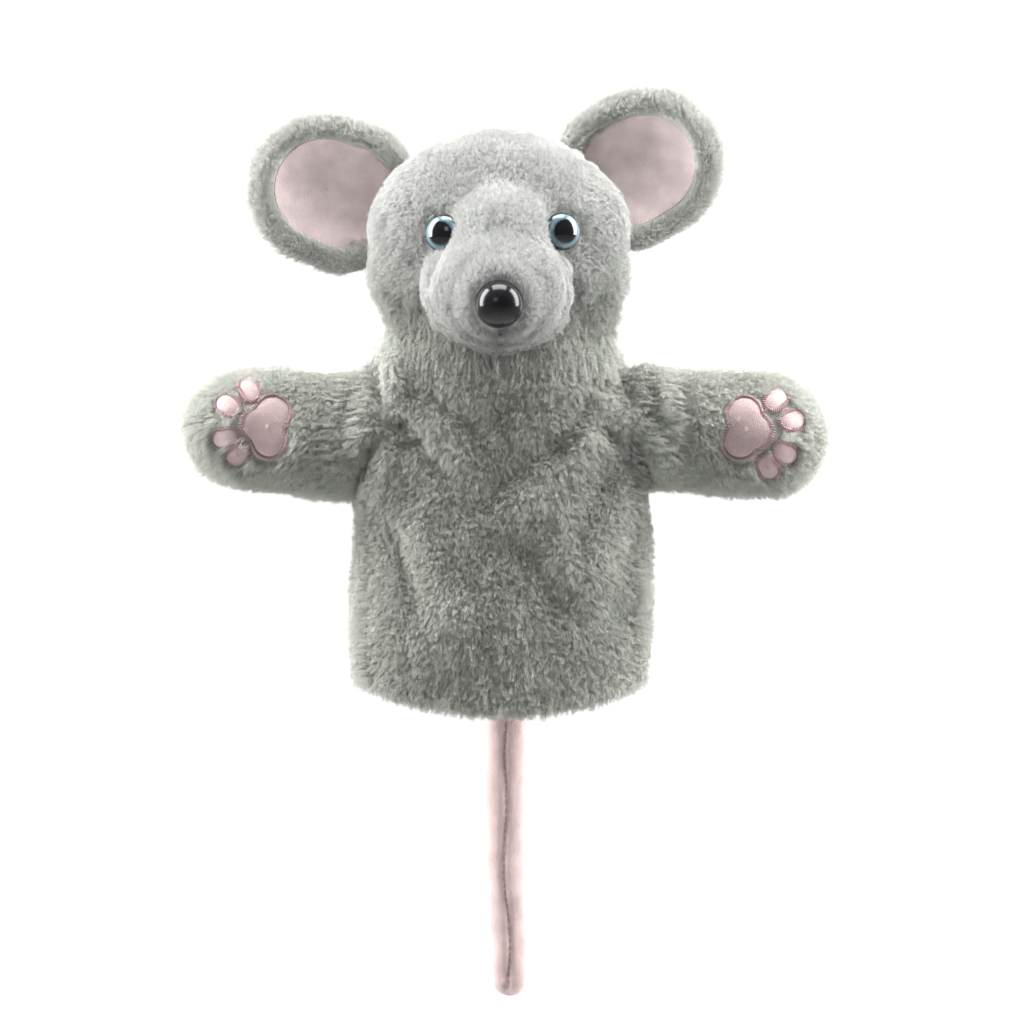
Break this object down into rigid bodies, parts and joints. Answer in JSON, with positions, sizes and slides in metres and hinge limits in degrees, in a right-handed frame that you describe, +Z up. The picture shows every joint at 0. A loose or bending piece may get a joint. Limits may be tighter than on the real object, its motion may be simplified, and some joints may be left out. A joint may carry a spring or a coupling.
{
  "type": "hand puppet",
  "caption": "Plush mouse hand puppet: hollow glove body and arms, stuffed head with finger tube, round ears, eyes, nose, paw pads and soft tail.",
  "frame": {"origin": "middle of the hand opening, at the lowest point of the curved hem", "axes": "+Z up towards the head, -Y the way the face looks, +X the puppet's own left"},
  "size_m": [0.266, 0.1345, 0.3784],
  "materials": {
    "body_plush": "short grey plush pile",
    "head_plush": "short silver plush pile",
    "lining": "woven polyester lining",
    "pink_velboa": "short-pile pink velboa",
    "grey_thread": "polyester sewing thread",
    "mauve_thread": "satin-stitched polyester thread",
    "wadding": "loose polyester fibre filling",
    "eye_clear": "polished clear dome over a black pupil",
    "eye_iris": "printed blue-grey iris",
    "nose_black": "polished black",
    "washer_plastic": "natural moulded plastic"
  },
  "bodies": {
    "glove": {"body_front_panel": "body_plush", "body_back_panel_left": "body_plush", "body_back_panel_right": "body_plush", "hem_facing": "lining", "hem_stitching": "grey_thread", "back_seam_thread": "grey_thread", "tail_anchor": "body_plush"},
    "neck": {"neck_fold": "body_plush"},
    "head": {"head_face_panel": "head_plush", "head_side_left": "body_plush", "head_side_right": "body_plush", "head_back_panel": "body_plush", "chin_panel": "head_plush", "head_filling": "wadding", "finger_tube": "lining", "eye_dome_left": "eye_clear", "eye_dome_right": "eye_clear", "eye_back_left": "eye_iris", "eye_back_right": "eye_iris", "eye_washer_left": "washer_plastic", "eye_washer_right": "washer_plastic", "nose": "nose_black", "nose_washer": "washer_plastic", "mouth_stitch": "mauve_thread"},
    "shoulder_left": {"shoulder_fold_left": "body_plush"},
    "arm_left": {"arm_front_left": "body_plush", "arm_back_left": "body_plush", "paw_filling_left": "wadding", "paw_pad_left": "pink_velboa", "toe_pads_left": "pink_velboa", "pad_stitching_left": "mauve_thread"},
    "ear_left": {"ear_back_left": "body_plush", "ear_lining_left": "pink_velboa", "ear_seam_left": "grey_thread"},
    "shoulder_right": {"shoulder_fold_right": "body_plush"},
    "arm_right": {"arm_front_right": "body_plush", "arm_back_right": "body_plush", "paw_filling_right": "wadding", "paw_pad_right": "pink_velboa", "toe_pads_right": "pink_velboa", "pad_stitching_right": "mauve_thread"},
    "ear_right": {"ear_back_right": "body_plush", "ear_lining_right": "pink_velboa", "ear_seam_right": "grey_thread"},
    "tail_root": {"tail_root": "pink_velboa"},
    "tail_upper": {"tail_upper_skin": "pink_velboa", "tail_upper_filling": "wadding", "tail_seam_upper": "mauve_thread"},
    "tail_lower": {"tail_lower_skin": "pink_velboa", "tail_lower_filling": "wadding", "tail_seam_lower": "mauve_thread"}
  },
  "joints": [
    {"name": "neck_turn", "type": "hinge", "parent": "glove", "child": "neck", "pos_m": [0, 0, 0.157], "axis": [0, 0, 1], "range_deg": [-25, 25], "stiffness_Nm_per_rad": 0.6},
    {"name": "head_nod", "type": "hinge", "parent": "neck", "child": "head", "pos_m": [0, 0, 0.157], "axis": [1, 0, 0], "range_deg": [-15, 14], "stiffness_Nm_per_rad": 1.5},
    {"name": "shoulder_swing_left", "type": "hinge", "parent": "glove", "child": "shoulder_left", "pos_m": [0.066, 0, 0.1165], "axis": [0, 0, -1], "range_deg": [-20, 50], "stiffness_Nm_per_rad": 0.1},
    {"name": "arm_lift_left", "type": "hinge", "parent": "shoulder_left", "child": "arm_left", "pos_m": [0.082, 0, 0.1165], "axis": [0, -1, 0], "range_deg": [-35, 35], "stiffness_Nm_per_rad": 0.15},
    {"name": "shoulder_swing_right", "type": "hinge", "parent": "glove", "child": "shoulder_right", "pos_m": [-0.066, 0, 0.1165], "axis": [0, 0, 1], "range_deg": [-20, 50], "stiffness_Nm_per_rad": 0.1},
    {"name": "arm_lift_right", "type": "hinge", "parent": "shoulder_right", "child": "arm_right", "pos_m": [-0.082, 0, 0.1165], "axis": [0, 1, 0], "range_deg": [-35, 35], "stiffness_Nm_per_rad": 0.15},
    {"name": "ear_fold_left", "type": "hinge", "parent": "head", "child": "ear_left", "pos_m": [0.0432, 0.018, 0.2205], "axis": [0.4472, 0, -0.8944], "range_deg": [-25, 25], "stiffness_Nm_per_rad": 0.05},
    {"name": "ear_fold_right", "type": "hinge", "parent": "head", "child": "ear_right", "pos_m": [-0.0504, 0.018, 0.2094], "axis": [0.3524, 0, 0.9358], "range_deg": [-25, 25], "stiffness_Nm_per_rad": 0.05},
    {"name": "tail_swing", "type": "hinge", "parent": "glove", "child": "tail_root", "pos_m": [0.002, 0.0415, 0.02], "axis": [0, 1, 0], "range_deg": [-50, 50]},
    {"name": "tail_lift", "type": "hinge", "parent": "tail_root", "child": "tail_upper", "pos_m": [0.002, 0.0415, 0.008], "axis": [1, 0, 0], "range_deg": [0, 75]},
    {"name": "tail_curl", "type": "hinge", "parent": "tail_upper", "child": "tail_lower", "pos_m": [0.002, 0.0415, -0.058], "axis": [0, 1, 0], "range_deg": [-35, 35]}
  ]
}
